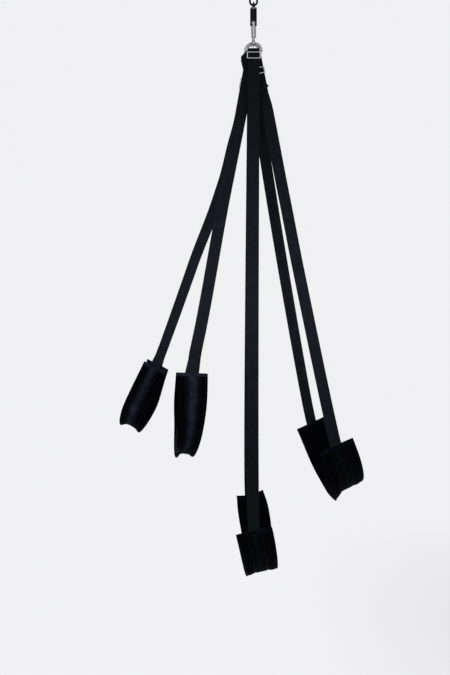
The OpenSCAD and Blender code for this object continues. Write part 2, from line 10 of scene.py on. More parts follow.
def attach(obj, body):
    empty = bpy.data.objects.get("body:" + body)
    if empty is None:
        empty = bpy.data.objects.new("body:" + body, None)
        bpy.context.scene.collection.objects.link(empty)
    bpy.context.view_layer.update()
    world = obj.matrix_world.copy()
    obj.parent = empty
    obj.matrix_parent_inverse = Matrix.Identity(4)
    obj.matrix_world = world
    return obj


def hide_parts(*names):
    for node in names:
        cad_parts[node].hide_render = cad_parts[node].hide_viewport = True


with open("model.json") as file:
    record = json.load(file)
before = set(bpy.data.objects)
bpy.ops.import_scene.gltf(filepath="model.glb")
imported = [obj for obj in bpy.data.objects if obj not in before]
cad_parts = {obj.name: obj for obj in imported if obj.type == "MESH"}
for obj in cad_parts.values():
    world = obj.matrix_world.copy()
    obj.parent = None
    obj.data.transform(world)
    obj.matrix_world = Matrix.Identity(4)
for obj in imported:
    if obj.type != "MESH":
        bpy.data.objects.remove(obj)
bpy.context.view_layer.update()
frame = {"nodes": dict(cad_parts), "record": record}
scene = bpy.context.scene
scene.view_settings.view_transform = "Standard"

# ---------------------------------------------------------------- camera
CAMERA_POS = (-0.0935, -2.300, -0.9163)
CAMERA_TILT = math.radians(84.5)
CAMERA_LENS = 35.87

camera_data = bpy.data.cameras.new("camera")
camera_data.lens = CAMERA_LENS
camera_data.sensor_width = 36
camera_data.clip_end = 60
camera = bpy.data.objects.new("camera", camera_data)
camera.location = CAMERA_POS
camera.rotation_euler = (CAMERA_TILT, 0, 0)
scene.collection.objects.link(camera)
scene.camera = camera

# ---------------------------------------------------------------- sizes shared with the frame
MM = 0.001
CLEAR = 0.3
PIVOT_Z = -172.2  # the rings' turning line along the carabiner's base
RING_PITCH = 5.6
RING_WIRE = 5
RING_DROP = 31  # from a ring's turning line down to its bar
RING_RISE = 6.8
WEB_W = 38
WEB_T = 1.6
LAYER_GAP = 0.2
LOOP_MEET = 8  # how far under a ring's bar the two layers of webbing come together
SEAT_X, SEAT_Z, SEAT_HALF, SEAT_DEPTH, SEAT_PAD_W, SEAT_TILT = 1, -1754, 178, 190, 120, 13
BACK_X, BACK_Z, BACK_HALF, BACK_DEPTH, BACK_PAD_W = 248, -1474, 166, 190, 120
BACK_TILT, BACK_YAW = 24, 6
LOOP_H, LOOP_R, LOOP_GAP, LEG_PAD_W, LEG_YAW = 256, 71, 13, 92, 12
PAD_T, LEG_PAD_T = 13, 10
PAD_GAP = 0.4
GROOVE_D = WEB_T + 2 * PAD_GAP


# ---------------------------------------------------------------- placing, in millimetres
def move(x, y, z):
    m = np.eye(4)
    m[:3, 3] = (x, y, z)
    return m


def turn(axis, degrees):
    return np.array(Matrix.Rotation(math.radians(degrees), 4, axis))


def place(m, p):
    return m[:3, :3] @ np.asarray(p, float) + m[:3, 3]


def aim(m, d):
    return m[:3, :3] @ np.asarray(d, float)


def unit(v):
    return v / np.linalg.norm(v)


def ease(t):
    return t * t * (3 - 2 * t)


SEAT_FRAME = move(SEAT_X, 0, SEAT_Z) @ turn("Y", -SEAT_TILT)
BACK_FRAME = move(BACK_X, 0, BACK_Z) @ turn("Z", BACK_YAW) @ turn("Y", -BACK_TILT)
LEFT_LEG_FRAME = move(-195, -262, -1224) @ turn("Z", LEG_YAW) @ turn("Y", 4) @ turn("X", -8)
RIGHT_LEG_FRAME = move(-358, 262, -1273) @ turn("Z", -LEG_YAW) @ turn("Y", 25) @ turn("X", 8)


def web_out(t):
    """How far outside a pad's middle line the middle of the webbing runs."""
    return t / 2 - GROOVE_D + PAD_GAP + WEB_T / 2


class Strap:
    """One strap's top end: its ring's place and lean, its own lean, its tail and slider."""

    def __init__(self, side, lane, ring_lean, swing, tail, slider, lean=None, end=None):
        self.side, self.tail, self.slider = side, tail, slider
        ring = (move(0, 0, PIVOT_Z) @ turn("Y", swing)
                @ move(0, side * lane * RING_PITCH, RING_RISE) @ turn("X", side * ring_lean))
        if end is not None:
            v = aim(turn("Y", -swing), end - place(ring, [0, 0, -RING_DROP]))
            lean = math.degrees(math.atan2(side * v[1], -v[2]))
        self.m = ring @ move(0, 0, -RING_DROP) @ turn("X", side * (lean - ring_lean))


def pad_end(m, half, side):
    return place(m, [0, side * (half + web_out(PAD_T)), 0])


# Side, lane from the middle, ring's lean, swing, tail's length, and slider's depth.
STRAPS = {
    "left_seat": Strap(-1, 2.5, 29, 0, 160, 19.2, end=pad_end(SEAT_FRAME, SEAT_HALF, -1)),
    "right_seat": Strap(1, 2.5, 29, 0, 160, 19.2, end=pad_end(SEAT_FRAME, SEAT_HALF, 1)),
    "left_back": Strap(-1, 0.5, 4, -11, 118, 61, end=pad_end(BACK_FRAME, BACK_HALF, -1)),
    "right_back": Strap(1, 0.5, 4, -6, 195, 61, end=pad_end(BACK_FRAME, BACK_HALF, 1)),
    "left_leg": Strap(-1, 1.5, 13.5, 10.3, 197, 105, lean=5.8),
    "right_leg": Strap(1, 1.5, 13.5, 10.8, 197, 105, lean=5.8),
}


# ---------------------------------------------------------------- lines that pieces follow
PITCH = 5
SPREAD_POWER = 2.5  # how flat the middle of a lift or fold is before it fades along a loop


def run_along(points):
    """How far along a line each of its points lies."""
    steps = np.linalg.norm(np.diff(points, axis=0), axis=1)
    return np.concatenate([[0], np.cumsum(steps)])


def tangents(points):
    t = np.gradient(points, axis=0)
    return t / np.linalg.norm(t, axis=1)[:, None]


def resample(points, pitch):
    """Points at an even pitch along a polyline, ends kept. Works in two or three dimensions."""
    points = np.asarray(points, float)
    run = run_along(points)
    count = max(2, int(round(run[-1] / pitch)) + 1)
    at = np.linspace(0, run[-1], count)
    return np.stack([np.interp(at, run, points[:, k]) for k in range(points.shape[1])], 1)


def smoothed(points, passes):
    """Rounds off the corners of a polyline without moving its ends."""
    points = np.array(points, float)
    for _ in range(passes):
        points[1:-1] = (points[:-2] + 2 * points[1:-1] + points[2:]) / 4
    return points


def cradle(half, depth, power=0.75):
    a = np.radians(np.linspace(0, 180, 361))
    y = -half * np.sign(np.cos(a)) * np.abs(np.cos(a)) ** power
    z = -depth * np.sin(a) ** power
    return smoothed(resample(np.stack([y, z], 1), PITCH), 3)


def teardrop():
    centre = LOOP_H - LOOP_R
    run = math.hypot(LOOP_GAP, centre)
    lean = math.asin(LOOP_R / run) - math.atan2(LOOP_GAP, centre)
    side = math.sqrt(run * run - LOOP_R * LOOP_R)
    down = (-LOOP_GAP - side * math.sin(lean), -side * math.cos(lean))
    a = np.linspace(math.pi - lean, 2 * math.pi + lean, 121)
    arc = np.stack([LOOP_R * np.cos(a), -centre + LOOP_R * np.sin(a)], 1)
    line = np.concatenate([[[-LOOP_GAP, 0], down], arc, [[-down[0], down[1]], [LOOP_GAP, 0]]])
    return smoothed(resample(line, PITCH), 2)


def offset_line(line, d):
    t = tangents(line)
    return line + d * np.stack([t[:, 1], -t[:, 0]], 1)


def web_line(line, t):
    return offset_line(line, web_out(t))


class Loop:
    """The lower loop of a sling: its frame, its middle line, and how its bottom lifts and sways."""

    def __init__(self, m, line, lift, spread, sway):
        self.m, self.sway, self.spread = m, sway, spread
        self.line = resample(line, PITCH)
        at = np.linspace(-0.5, 0.5, len(self.line)) / spread
        rise = lift * np.exp(-np.abs(at) ** SPREAD_POWER)
        self.line[1:-1] -= (offset_line(self.line, 1) - self.line)[1:-1] * rise[1:-1, None]
        self.depth = -self.line[:, 1].min()

    def place(self, x, y, z):
        return place(self.m, [x + self.sway * (min(0, z) / self.depth) ** 2, y, z])

    def stations(self, line):
        w = aim(self.m, [1, 0, 0])
        return [(self.place(0, *p), w) for p in line]


# Frame, line, lift, share of the loop that lifts, and sway.
LOOPS = {
    "seat": Loop(SEAT_FRAME, cradle(SEAT_HALF, SEAT_DEPTH), 6, 0.3, -10),
    "back": Loop(BACK_FRAME, cradle(BACK_HALF, BACK_DEPTH), 2, 0.3, -11),
    "left_leg": Loop(LEFT_LEG_FRAME, teardrop(), 19, 0.26, -20),
    "right_leg": Loop(RIGHT_LEG_FRAME, teardrop(), -6, 0.26, 3),
}


def bezier(p, t):
    return ((1 - t) ** 3 * p[0] + 3 * t * (1 - t) ** 2 * p[1]
            + 3 * t * t * (1 - t) * p[2] + t ** 3 * p[3])


TOP_PULL, PAD_PULL, FREE_STEPS = 130, 40, 150
TAIL_PITCH, INNER_PITCH, RING_STEPS, FEWEST = 4, 8, 25, 8
LAYER_Y = (WEB_T + LAYER_GAP) / 2
TOP_END = 6  # how far past its tail a strap's top stays straight
# Below its slider's lowest place a tail stands off: outward, across, and length beyond the frame's.
TAIL_FLARE = {"left_back": (3.0, 9.0, 10), "right_back": (2.5, 0, 0)}
SLIDER_HALF_H, SLIDER_DOWN = 14, {"left_back": 44, "right_back": 40}
SLACK = {"left_leg": (4.0, -15.0)}  # the outer turn above the slider: outward and across
SLACK_RISE, SLACK_END, SLACK_FALL = 20, 60, 32


# How far a free run hangs aside in its own plane, as (share of the run, sideways) pairs.
DRIFT = {"left_back": [(0, 0), (0.06, 4.5), (0.3, 2.0), (0.5, 0)],
         "left_leg": [(0.3, 0), (0.87, 8.5), (1, 6.5)],
         "right_leg": [(0.08, 0), (0.24, 7.5), (0.32, 7.5), (0.58, 0)]}


def drift(name, share):
    knots = DRIFT.get(name, [(0, 0), (1, 0)])
    for (a, low), (b, high) in zip(knots, knots[1:]):
        if a <= share <= b:
            return low + (high - low) * ease((share - a) / (b - a))
    return 0.0


def free_run(name, m, end, direction):
    """Stations from a strap's straight top to its pad, close to the frame's."""
    s = STRAPS[name]
    a = place(s.m, [0, -s.side * LAYER_Y, -s.tail - TOP_END])
    b = place(m, [0, *end])
    p = [a, a + TOP_PULL * aim(s.m, [0, 0, -1]), b - PAD_PULL * aim(m, [0, *direction]), b]
    wa, wb = aim(s.m, [1, 0, 0]), aim(m, [1, 0, 0])
    steps = np.linspace(0, 1, FREE_STEPS + 1)
    points = [bezier(p, t) for t in steps]
    widths = [unit(wa + (wb - wa) * ease(t)) for t in steps]
    run = run_along(points)
    return [(q + w * drift(name, r / run[-1]), w) for q, w, r in zip(points, widths, run)]


def strap_top(name):
    """Stations from the tail's end, up over the ring's bar and down to the straight part's end."""
    s, slack = STRAPS[name], SLACK.get(name, (0, 0))
    flare_out, flare_across, longer = TAIL_FLARE.get(name, (0, 0, 0))
    tail = s.tail + longer
    r = RING_WIRE / 2 + CLEAR + WEB_T / 2
    start = math.acos(r / math.hypot(LAYER_Y, LOOP_MEET)) - math.atan2(LOOP_MEET, LAYER_Y)
    w = aim(s.m, [1, 0, 0])
    out = []
    free = s.slider + SLIDER_DOWN.get(name, SLIDER_HALF_H)
    for z in np.linspace(-tail, -LOOP_MEET, max(FEWEST, int(tail / TAIL_PITCH))):
        t = max(0.0, (-z - free) / max(1, tail - free))
        b = max(0.0, min((-z - LOOP_MEET) / SLACK_RISE, (SLACK_END + z) / SLACK_FALL, 1.0))
        y = LAYER_Y + flare_out * t * t + slack[0] * b
        out.append((place(s.m, [flare_across * t * t + slack[1] * b, s.side * y, z]), w))
    for a in np.linspace(start, math.pi - start, RING_STEPS):
        out.append((place(s.m, [0, s.side * r * math.cos(a), r * math.sin(a)]), w))
    for z in np.linspace(-LOOP_MEET, -s.tail, max(FEWEST, int(s.tail / INNER_PITCH))):
        out.append((place(s.m, [0, -s.side * LAYER_Y, z]), w))
    return out


# ---------------------------------------------------------------- meshes
def new_object(name, vertices, faces, uv=None, smooth_angle=40):
    """A mesh object from millimetre vertices, with one (u, v) for each vertex if given."""
    mesh = bpy.data.meshes.new(name)
    mesh.from_pydata([tuple(MM * c for c in v) for v in vertices], [], faces)
    if uv is not None:
        layer = mesh.uv_layers.new(name="along")
        index = np.empty(len(mesh.loops), int)
        mesh.loops.foreach_get("vertex_index", index)
        layer.data.foreach_set("uv", (MM * np.asarray(uv, float))[index].ravel())
    mesh.polygons.foreach_set("use_smooth", [True] * len(mesh.polygons))
    mesh.set_sharp_from_angle(angle=math.radians(smooth_angle))
    mesh.update()
    obj = bpy.data.objects.new(name, mesh)
    scene.collection.objects.link(obj)
    return obj


def frames_along(stations):
    """Centre, width direction and outward normal of each station, and the run so far."""
    c = np.array([s[0] for s in stations])
    w0 = np.array([s[1] for s in stations])
    t = tangents(c)
    n = np.cross(t, w0)
    n /= np.linalg.norm(n, axis=1)[:, None]
    w = np.cross(n, t)
    return c, w, n, run_along(c)


def sweep(name, stations, section, smooth_angle=40):
    """A closed mesh. section is one (k, 2) array in (width, outward), or a function of (i, run)."""
    c, w, n, run = frames_along(stations)
    rings = [section(i, run) if callable(section) else section for i in range(len(stations))]
    k = len(rings[0])
    vertices, uv = [], []
    for i, ring in enumerate(rings):
        for p in ring:
            vertices.append(c[i] + w[i] * p[0] + n[i] * p[1])
            uv.append((p[0], run[i]))
    faces = []
    for i in range(len(stations) - 1):
        for j in range(k):
            a, b = i * k + j, i * k + (j + 1) % k
            faces.append((a, a + k, b + k, b))
    faces.append(tuple(range(k)))
    faces.append(tuple(range((len(stations) - 1) * k + k - 1, (len(stations) - 1) * k - 1, -1)))
    return new_object(name, vertices, faces, uv, smooth_angle)


def flat_section(width, thick, edge, steps=3, across=8):
    """A flat strip with rounded edges, as (width, outward) pairs, run round once."""
    h, r = width / 2, thick / 2
    top = [(x, r) for x in np.linspace(-h + edge, h - edge, across)]
    a = np.linspace(90, -90, 2 * steps + 1)[1:-1]
    right = [(h - edge + edge * math.cos(b), r * math.sin(b)) for b in np.radians(a)]
    low = [(x, -r) for x in np.linspace(h - edge, -h + edge, across)]
    left = [(-x, -y) for x, y in right]
    return np.array(top + right + low + left)


# ---------------------------------------------------------------- materials
def new_material(name, colour, roughness, metallic=0.0, fixed=()):
    """A principled material. Fixed values sit on the shader's own sockets and are never linked."""
    material = bpy.data.materials.new(name)
    material.use_nodes = True
    shader = material.node_tree.nodes["Principled BSDF"]
    shader.inputs["Base Color"].default_value = (*colour, 1)
    shader.inputs["Roughness"].default_value = roughness
    shader.inputs["Metallic"].default_value = metallic
    for key, value in dict(fixed).items():
        shader.inputs[key].default_value = value
    return material


def add_node(tree, kind, values=(), operation=None):
    """A node with values on some of its sockets, which are named or numbered."""
    node = tree.nodes.new(kind)
    if operation is not None:
        node.operation = operation
    for key, value in dict(values).items():
        node.inputs[key].default_value = value
    return node


def colour_sockets(sockets):
    return [socket for socket in sockets if socket.type == "RGBA"]


class Graph:
    """Short calls for building a material's node tree."""

    def __init__(self, material):
        self.tree = material.node_tree
        self.shader = self.tree.nodes["Principled BSDF"]
        self.coords = add_node(self.tree, "ShaderNodeTexCoord")

    def link(self, a, b):
        self.tree.links.new(a, b)

    def noise(self, scale, detail=3.0, roughness=0.55, stretch=None, source="Object"):
        values = {"Scale": scale, "Detail": detail, "Roughness": roughness}
        node = add_node(self.tree, "ShaderNodeTexNoise", values)
        vector = self.coords.outputs[source]
        if stretch is not None:
            mapping = add_node(self.tree, "ShaderNodeMapping", {"Scale": stretch})
            self.link(vector, mapping.inputs["Vector"])
            vector = mapping.outputs["Vector"]
        self.link(vector, node.inputs["Vector"])
        return node.outputs["Fac"]

    def math(self, operation, a, b=None):
        node = add_node(self.tree, "ShaderNodeMath", operation=operation)
        for socket, value in zip(node.inputs, (a, b)):
            if value is None:
                continue
            if isinstance(value, (int, float)):
                socket.default_value = value
            else:
                self.link(value, socket)
        return node.outputs[0]

    def span(self, value, low, high, start=0.0, end=1.0):
        values = {"From Min": start, "From Max": end, "To Min": low, "To Max": high}
        node = add_node(self.tree, "ShaderNodeMapRange", values)
        self.link(value, node.inputs["Value"])
        return node.outputs["Result"]

    def blend(self, factor, low, high):
        node = add_node(self.tree, "ShaderNodeMix")
        node.data_type = "RGBA"
        self.link(factor, node.inputs["Factor"])
        for socket, value in zip(colour_sockets(node.inputs), (low, high)):
            socket.default_value = (*value, 1)
        return colour_sockets(node.outputs)[0]

    def bump(self, height, strength, distance, after=None):
        values = {"Strength": strength, "Distance": distance}
        node = add_node(self.tree, "ShaderNodeBump", values)
        self.link(height, node.inputs["Height"])
        if after is not None:
            self.link(after, node.inputs["Normal"])
        return node.outputs["Normal"]

    def split(self, source):
        node = add_node(self.tree, "ShaderNodeSeparateXYZ")
        self.link(self.coords.outputs[source], node.inputs[0])
        return node.outputs

    def across_along(self):
        return self.split("UV")[:2]

    def ribs(self, value, pitch):
        turns = self.math("MULTIPLY", value, math.pi / pitch)
        return self.math("ABSOLUTE", self.math("SINE", turns))

    def set(self, **sockets):
        names = {"colour": "Base Color", "roughness": "Roughness", "normal": "Normal"}
        for key, value in sockets.items():
            self.link(value, self.shader.inputs[names[key]])


def metal(name, colour, roughness, wear, brushed=None):
    """Bare or plated metal: smudges in the gloss, faint scratches, slightly uneven tone."""
    material = new_material(name, colour, roughness, 1.0)
    g = Graph(material)
    smudge = g.noise(90, 4)
    g.set(roughness=g.span(smudge, roughness * 0.7, roughness * 1.5, 0.3, 0.7))
    dark = tuple(c * (1 - wear) for c in colour)
    g.set(colour=g.blend(g.span(g.noise(260, 5), 0, 1, 0.35, 0.65), dark, colour))
    grain = g.noise(1400, 2, stretch=brushed or (1, 1, 0.25))
    g.set(normal=g.bump(grain, 0.12 if brushed else 0.04, 0.0002))
    return material


def coated(name, colour, worn):
    """Satin black coating over steel, a little polished where parts rub."""
    fixed = {"Specular IOR Level": 0.12, "Coat Weight": 0.03, "Coat Roughness": 0.2}
    material = new_material(name, colour, 0.4, 0.0, fixed)
    g = Graph(material)
    rub = g.span(g.noise(180, 6, 0.7), 0, 1, 0.56, 0.72)
    g.set(colour=g.blend(rub, colour, worn))
    g.set(roughness=g.span(g.noise(420, 3), 0.32, 0.52, 0.3, 0.7))
    g.set(normal=g.bump(g.noise(1500, 2), 0.15, 0.0002))
    return material


def woven(name, dark, light, rib, thread, roughness, depth, sheen, painted_height_shade=False):
    """Ribbed webbing: ribs across the strap, threads along it. On the straps, shade is painted into
    the tone by height: darker near their tops and low down, lighter about halfway down."""
    fixed = {"Specular IOR Level": 0.1, "Sheen Weight": sheen, "Sheen Roughness": 0.45}
    material = new_material(name, dark, roughness, 0.0, fixed)
    g = Graph(material)
    u, v = g.across_along()
    offset = g.math("MULTIPLY", g.math("FLOOR", g.math("DIVIDE", u, thread)), rib / 2)
    cells = g.math("MULTIPLY", g.ribs(g.math("ADD", v, offset), rib), g.ribs(u, thread))
    fuzz = g.noise(900, 3)
    height = g.math("ADD", cells, g.math("MULTIPLY", fuzz, 0.35))
    patches = g.span(g.noise(28, 4), 0.55, 1.1, 0.3, 0.7)
    tone = g.math("MULTIPLY", g.span(cells, 0.25, 1), patches)
    if painted_height_shade:
        # Painted shade: the webbing is darkened near the straps' tops and low down, so it looks
        # lighter about halfway down.
        z = g.split("Object")[2]
        above, below = g.span(z, 0.05, 1.3, -0.28, -0.95), g.span(z, 1.3, 0.1, -1.1, -1.6)
        tone = g.math("MULTIPLY", tone, g.math("MINIMUM", above, below))
    g.set(colour=g.blend(tone, dark, light))
    g.set(roughness=g.span(cells, roughness + 0.15, roughness - 0.1))
    g.set(normal=g.bump(height, 0.75, depth))
    return material


def velour(name, dark, light, sheen, brushed=False):
    """Short pile, almost black. Brushed pile runs in streaks along its length, and carries a
    painted highlight: lighter along its middle, darker towards its edges.
    """
    fixed = {"Specular IOR Level": 0.03, "Sheen Weight": sheen, "Sheen Roughness": 0.3,
             "Sheen Tint": (0.5, 0.56, 0.72, 1)}
    material = new_material(name, dark, 0.92, 0.0, fixed)
    g = Graph(material)
    nap = g.span(g.noise(24, 5, 0.6), 0, 1, 0.42, 0.68)
    pile = g.noise(2600, 2)
    tone = g.math("MULTIPLY", nap, g.span(pile, 0.5, 1.2))
    if brushed:
        grain = g.noise(1, 3, 0.6, stretch=(330, 7, 1), source="UV")
        streaks = g.span(grain, 0.35, 1.7, 0.35, 0.65)
        # Painted highlight: the tape is lighter along its middle, where it arches over the webbing
        # and catches the light.
        middle = g.span(g.math("ABSOLUTE", g.split("UV")[0]), 1.25, 0.1, 3 * MM, 20 * MM)
        tone = g.math("MULTIPLY", g.span(tone, 0.3, 1.0), g.math("MULTIPLY", streaks, middle))
    g.set(colour=g.blend(tone, dark, light))
    coarse = g.bump(g.noise(55, 4, 0.6), 0.35, 0.002)
    g.set(normal=g.bump(pile, 0.5, 0.0004, coarse))
    return material


# Colours are linear. Velour and webbing take a dark and a light one.
MATERIALS = {
    "polished_steel": metal("polished_steel", (0.66, 0.66, 0.68), 0.13, wear=0.15),
    "grey_cap": metal("grey_cap", (0.42, 0.42, 0.43), 0.34, wear=0.2, brushed=(1, 1, 0.1)),
    "bearing_bronze": metal("bearing_bronze", (0.55, 0.40, 0.22), 0.3, wear=0.25,
                            brushed=(1, 1, 0.1)),
    "spring_steel": metal("spring_steel", (0.55, 0.55, 0.56), 0.25, wear=0.2, brushed=(0.2, 1, 1)),
    "black_coat": coated("black_coat", (0.003, 0.003, 0.0035), worn=(0.018, 0.018, 0.020)),
    "webbing": woven("webbing", (0.0022, 0.0026, 0.0044), (0.0145, 0.0165, 0.0255),
                     rib=1.9 * MM, thread=1.5 * MM, roughness=0.62, depth=0.0006, sheen=0.03,
                     painted_height_shade=True),
    "thread": woven("thread", (0.0016, 0.0019, 0.003), (0.006, 0.007, 0.0105),
                    rib=0.9 * MM, thread=0.5 * MM, roughness=0.5, depth=0.0001, sheen=0.05),
    "pad_cover": velour("pad_cover", (0.0005, 0.0005, 0.0009), (0.0018, 0.0022, 0.0042),
                        sheen=0.008),
    # Painted light: leg_hem and leg_tape are lit copies of seat_hem and seat_tape, painted lighter
    # because the leg pads catch more light than the seat and back pads.
    "leg_hem": velour("leg_hem", (0.0058, 0.0070, 0.0120), (0.0175, 0.0210, 0.0350), sheen=0.03),
    "leg_tape": velour("leg_tape", (0.0008, 0.0010, 0.0022), (0.0185, 0.0215, 0.0360),
                       sheen=0.02, brushed=True),
    "seat_hem": velour("seat_hem", (0.0008, 0.0014, 0.0024), (0.0028, 0.0046, 0.0078),
                       sheen=0.012),
    "seat_tape": velour("seat_tape", (0.0003, 0.0006, 0.0011), (0.0026, 0.0046, 0.0070),
                        sheen=0.006, brushed=True),
}
for part in frame["record"]["subparts"]:
    node = frame["nodes"][part["node"]]
    node.data.materials.clear()
    node.data.materials.append(MATERIALS[part["material_slot"]])


def finish_piece(obj, material, body, *replaced, slot=None):
    obj.data.materials.append(MATERIALS[material])
    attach(obj, body)
    if replaced:
        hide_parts(*replaced)
    return obj


# ---------------------------------------------------------------- webbing
RIBBON = flat_section(WEB_W, WEB_T, edge=1.0, steps=3, across=9)
SPLIT_PITCH = 4
# Above a leg pad the webbing's two ends run together, and are sewn over the join's upper part.
JOIN_L, JOIN_END, JOIN_GAP = 45, 80, WEB_T + 2 * LAYER_GAP


def sling_stations(side_a, side_b, loop):
    line = web_line(loop.line, PAD_T)
    first = free_run(side_a, loop.m, line[0], unit(line[1] - line[0]))
    last = free_run(side_b, loop.m, line[-1], unit(line[-2] - line[-1]))
    middle = first + loop.stations(line)[1:-1] + last[::-1]
    return strap_top(side_a) + middle + strap_top(side_b)[::-1]


def leg_stations(name, loop):
    side = STRAPS[name].side
    line = web_line(loop.line, LEG_PAD_T)
    if side > 0:
        line = line[::-1]
    lower = np.concatenate([[[0, JOIN_L]], line, [[-side * JOIN_GAP, JOIN_L]]])
    lower = smoothed(resample(lower, SPLIT_PITCH), 3)
    first = free_run(name, loop.m, [0, JOIN_L], [0, -1])
    c, w, n, run = frames_along(first)
    n *= JOIN_GAP * math.copysign(1, n[-1] @ aim(loop.m, [0, -side, 0]))
    back = [(c[i] + n[i], w[i]) for i in range(len(c)) if run[-1] - run[i] < JOIN_END - JOIN_L]
    aside = drift(name, 1.0) / JOIN_L
    split = [(q + w * aside * max(0.0, p[1]), w) for (q, w), p in zip(loop.stations(lower), lower)]
    return strap_top(name) + first + split[1:] + back[-2::-1]


RIBBONS = {
    "seat": sling_stations("left_seat", "right_seat", LOOPS["seat"]),
    "back": sling_stations("left_back", "right_back", LOOPS["back"]),
    "left_leg": leg_stations("left_leg", LOOPS["left_leg"]),
    "right_leg": leg_stations("right_leg", LOOPS["right_leg"]),
}
for name, stations in RIBBONS.items():
    finish_piece(sweep(f"{name}_strap", stations, RIBBON), "webbing", f"{name}_sling",
                 f"{name}_webbing", slot="webbing")


SLIDER_BAR = 2.6
SLIDER_HALF_T = WEB_T + LAYER_GAP / 2 + CLEAR + SLIDER_BAR
FOLD_HALF_H, FOLD_RAMP, FOLD_STEPS, FOLD_GAP = 22, 10, 45, 0.1


def fold_over(name, strap, body):
    """The strap's outer turn, which passes over a slider's bars and hides them."""
    low, high = LAYER_Y + WEB_T + FOLD_GAP, SLIDER_HALF_T + WEB_T / 2 + CLEAR
    w = aim(strap.m, [1, 0, 0])
    stations = []
    for z in np.linspace(-FOLD_HALF_H, FOLD_HALF_H, FOLD_STEPS):
        t = ease(min(1.0, max(0.0, (FOLD_HALF_H - abs(z)) / FOLD_RAMP)))
        y = low + (high - low) * t
        stations.append((place(strap.m, [0, strap.side * y, -strap.slider + z]), w))
    finish_piece(sweep(name, stations, RIBBON), "webbing", body)


for side in ("left", "right"):
    fold_over(f"{side}_leg_fold", STRAPS[f"{side}_leg"], f"{side}_leg_slider")


# ---------------------------------------------------------------- stitches
class Stitches:
    """Many small stitches in one mesh. Each is a slim grain lying along the seam."""

    def __init__(self):
        self.vertices, self.faces, self.uv = [], [], []

    def add(self, centre, along, up, length=3.0, width=0.9):
        side = np.cross(along, up)
        base = len(self.vertices)
        for t, r in ((-0.5, 0.35), (-0.32, 1.0), (0.32, 1.0), (0.5, 0.35)):
            for a, b in ((-0.5, 0), (0, 0.42), (0.5, 0), (0, -0.3)):
                p = centre + along * (length * t) + (side * a + up * b) * width * r
                self.vertices.append(p)
                self.uv.append((a * width, length * t))
        for i in range(3):
            for j in range(4):
                a, b = base + 4 * i + j, base + 4 * i + (j + 1) % 4
                self.faces.append((a, b, b + 4, a + 4))
        self.faces.append((base + 3, base + 2, base + 1, base))
        self.faces.append((base + 12, base + 13, base + 14, base + 15))

    def row(self, points, ups, pitch=4.0, length=3.0, width=0.9):
        points, ups = np.asarray(points), np.asarray(ups)
        run = run_along(points)
        count = max(1, int(run[-1] / pitch))
        for k in range(count):
            s = (k + 0.5) * run[-1] / count
            p = np.array([np.interp(s, run, points[:, c]) for c in range(3)])
            q = np.array([np.interp(min(s + 1, run[-1]), run, points[:, c]) for c in range(3)])
            o = np.array([np.interp(max(s - 1, 0), run, points[:, c]) for c in range(3)])
            up = unit(np.array([np.interp(s, run, ups[:, c]) for c in range(3)]))
            along = unit(q - o)
            self.add(p, along, unit(up - along * (up @ along)), length, width)

    def build(self, name, body):
        obj = new_object(name, self.vertices, self.faces, self.uv, 60)
        return finish_piece(obj, "thread", body)


TACK_HALF, TACK_EDGE, TAIL_ROWS, TAIL_STATIONS = WEB_W / 2 - 3, 5, (3, 9, 12), 12
SEWN_OUT = WEB_T / 2 + 0.05


class Patch:
    """One face of a strap. Places on it are (across, along) pairs, from the run's first station."""

    def __init__(self, stations, facing, out=SEWN_OUT):
        self.c, self.w, n, self.run = frames_along(stations)
        self.n = n * math.copysign(1, n[0] @ facing)
        self.out = out

    def sew(self, sewn, start, end):
        points, ups = [], []
        for t in np.linspace(0, 1, 12):
            x, s = (a + (b - a) * t for a, b in zip(start, end))
            c, w, n = (np.array([np.interp(s, self.run, v[:, k]) for k in range(3)])
                       for v in (self.c, self.w, self.n))
            points.append(c + w * x + n * self.out)
            ups.append(n)
        sewn.row(points, ups, 2.6, 2.0, 0.8)

    def box(self, sewn, low, high):
        """A box of stitches with a cross in it."""
        corners = [(-TACK_HALF, low), (TACK_HALF, low), (TACK_HALF, high), (-TACK_HALF, high)]
        for i, j in ((0, 1), (1, 2), (2, 3), (3, 0), (0, 2), (1, 3)):
            self.sew(sewn, corners[i], corners[j])


for body, ends in (("seat", ("left_seat", "right_seat")), ("back", ("left_back", "right_back")),
                   ("left_leg", ("left_leg",)), ("right_leg", ("right_leg",))):
    sewn = Stitches()
    for name in ends:
        strap = STRAPS[name]
        tail = Patch(strap_top(name)[:TAIL_STATIONS], aim(strap.m, [0, strap.side, 0]))
        for s in TAIL_ROWS:
            tail.sew(sewn, (-TACK_HALF, s), (TACK_HALF, s))
    if body in STRAPS:
        join = free_run(body, LOOPS[body].m, [0, JOIN_L], [0, -1])[::-1]
        outward = aim(LOOPS[body].m, [0, STRAPS[body].side, 0])
        top = JOIN_END - JOIN_L - TACK_EDGE - 1
        Patch(join, outward).box(sewn, TACK_EDGE, top)
        Patch(join, -outward, JOIN_GAP + SEWN_OUT).box(sewn, TACK_EDGE, top)
    sewn.build(f"{body}_strap_stitches", f"{body}_sling")


# ---------------------------------------------------------------- pads
HEM, SEAM_IN, SEAM_OUT, TAPE_EDGE, END_HEM = 7, 21.5, 23, 25, 10
EDGE_HALF = 2.0  # half the padding's thickness under its edge bindings
END_CURL, END_CURL_RUN, CURL_RUN = 9, 18, 60
RIPPLE, TAPER_RUN = 0.12, 24


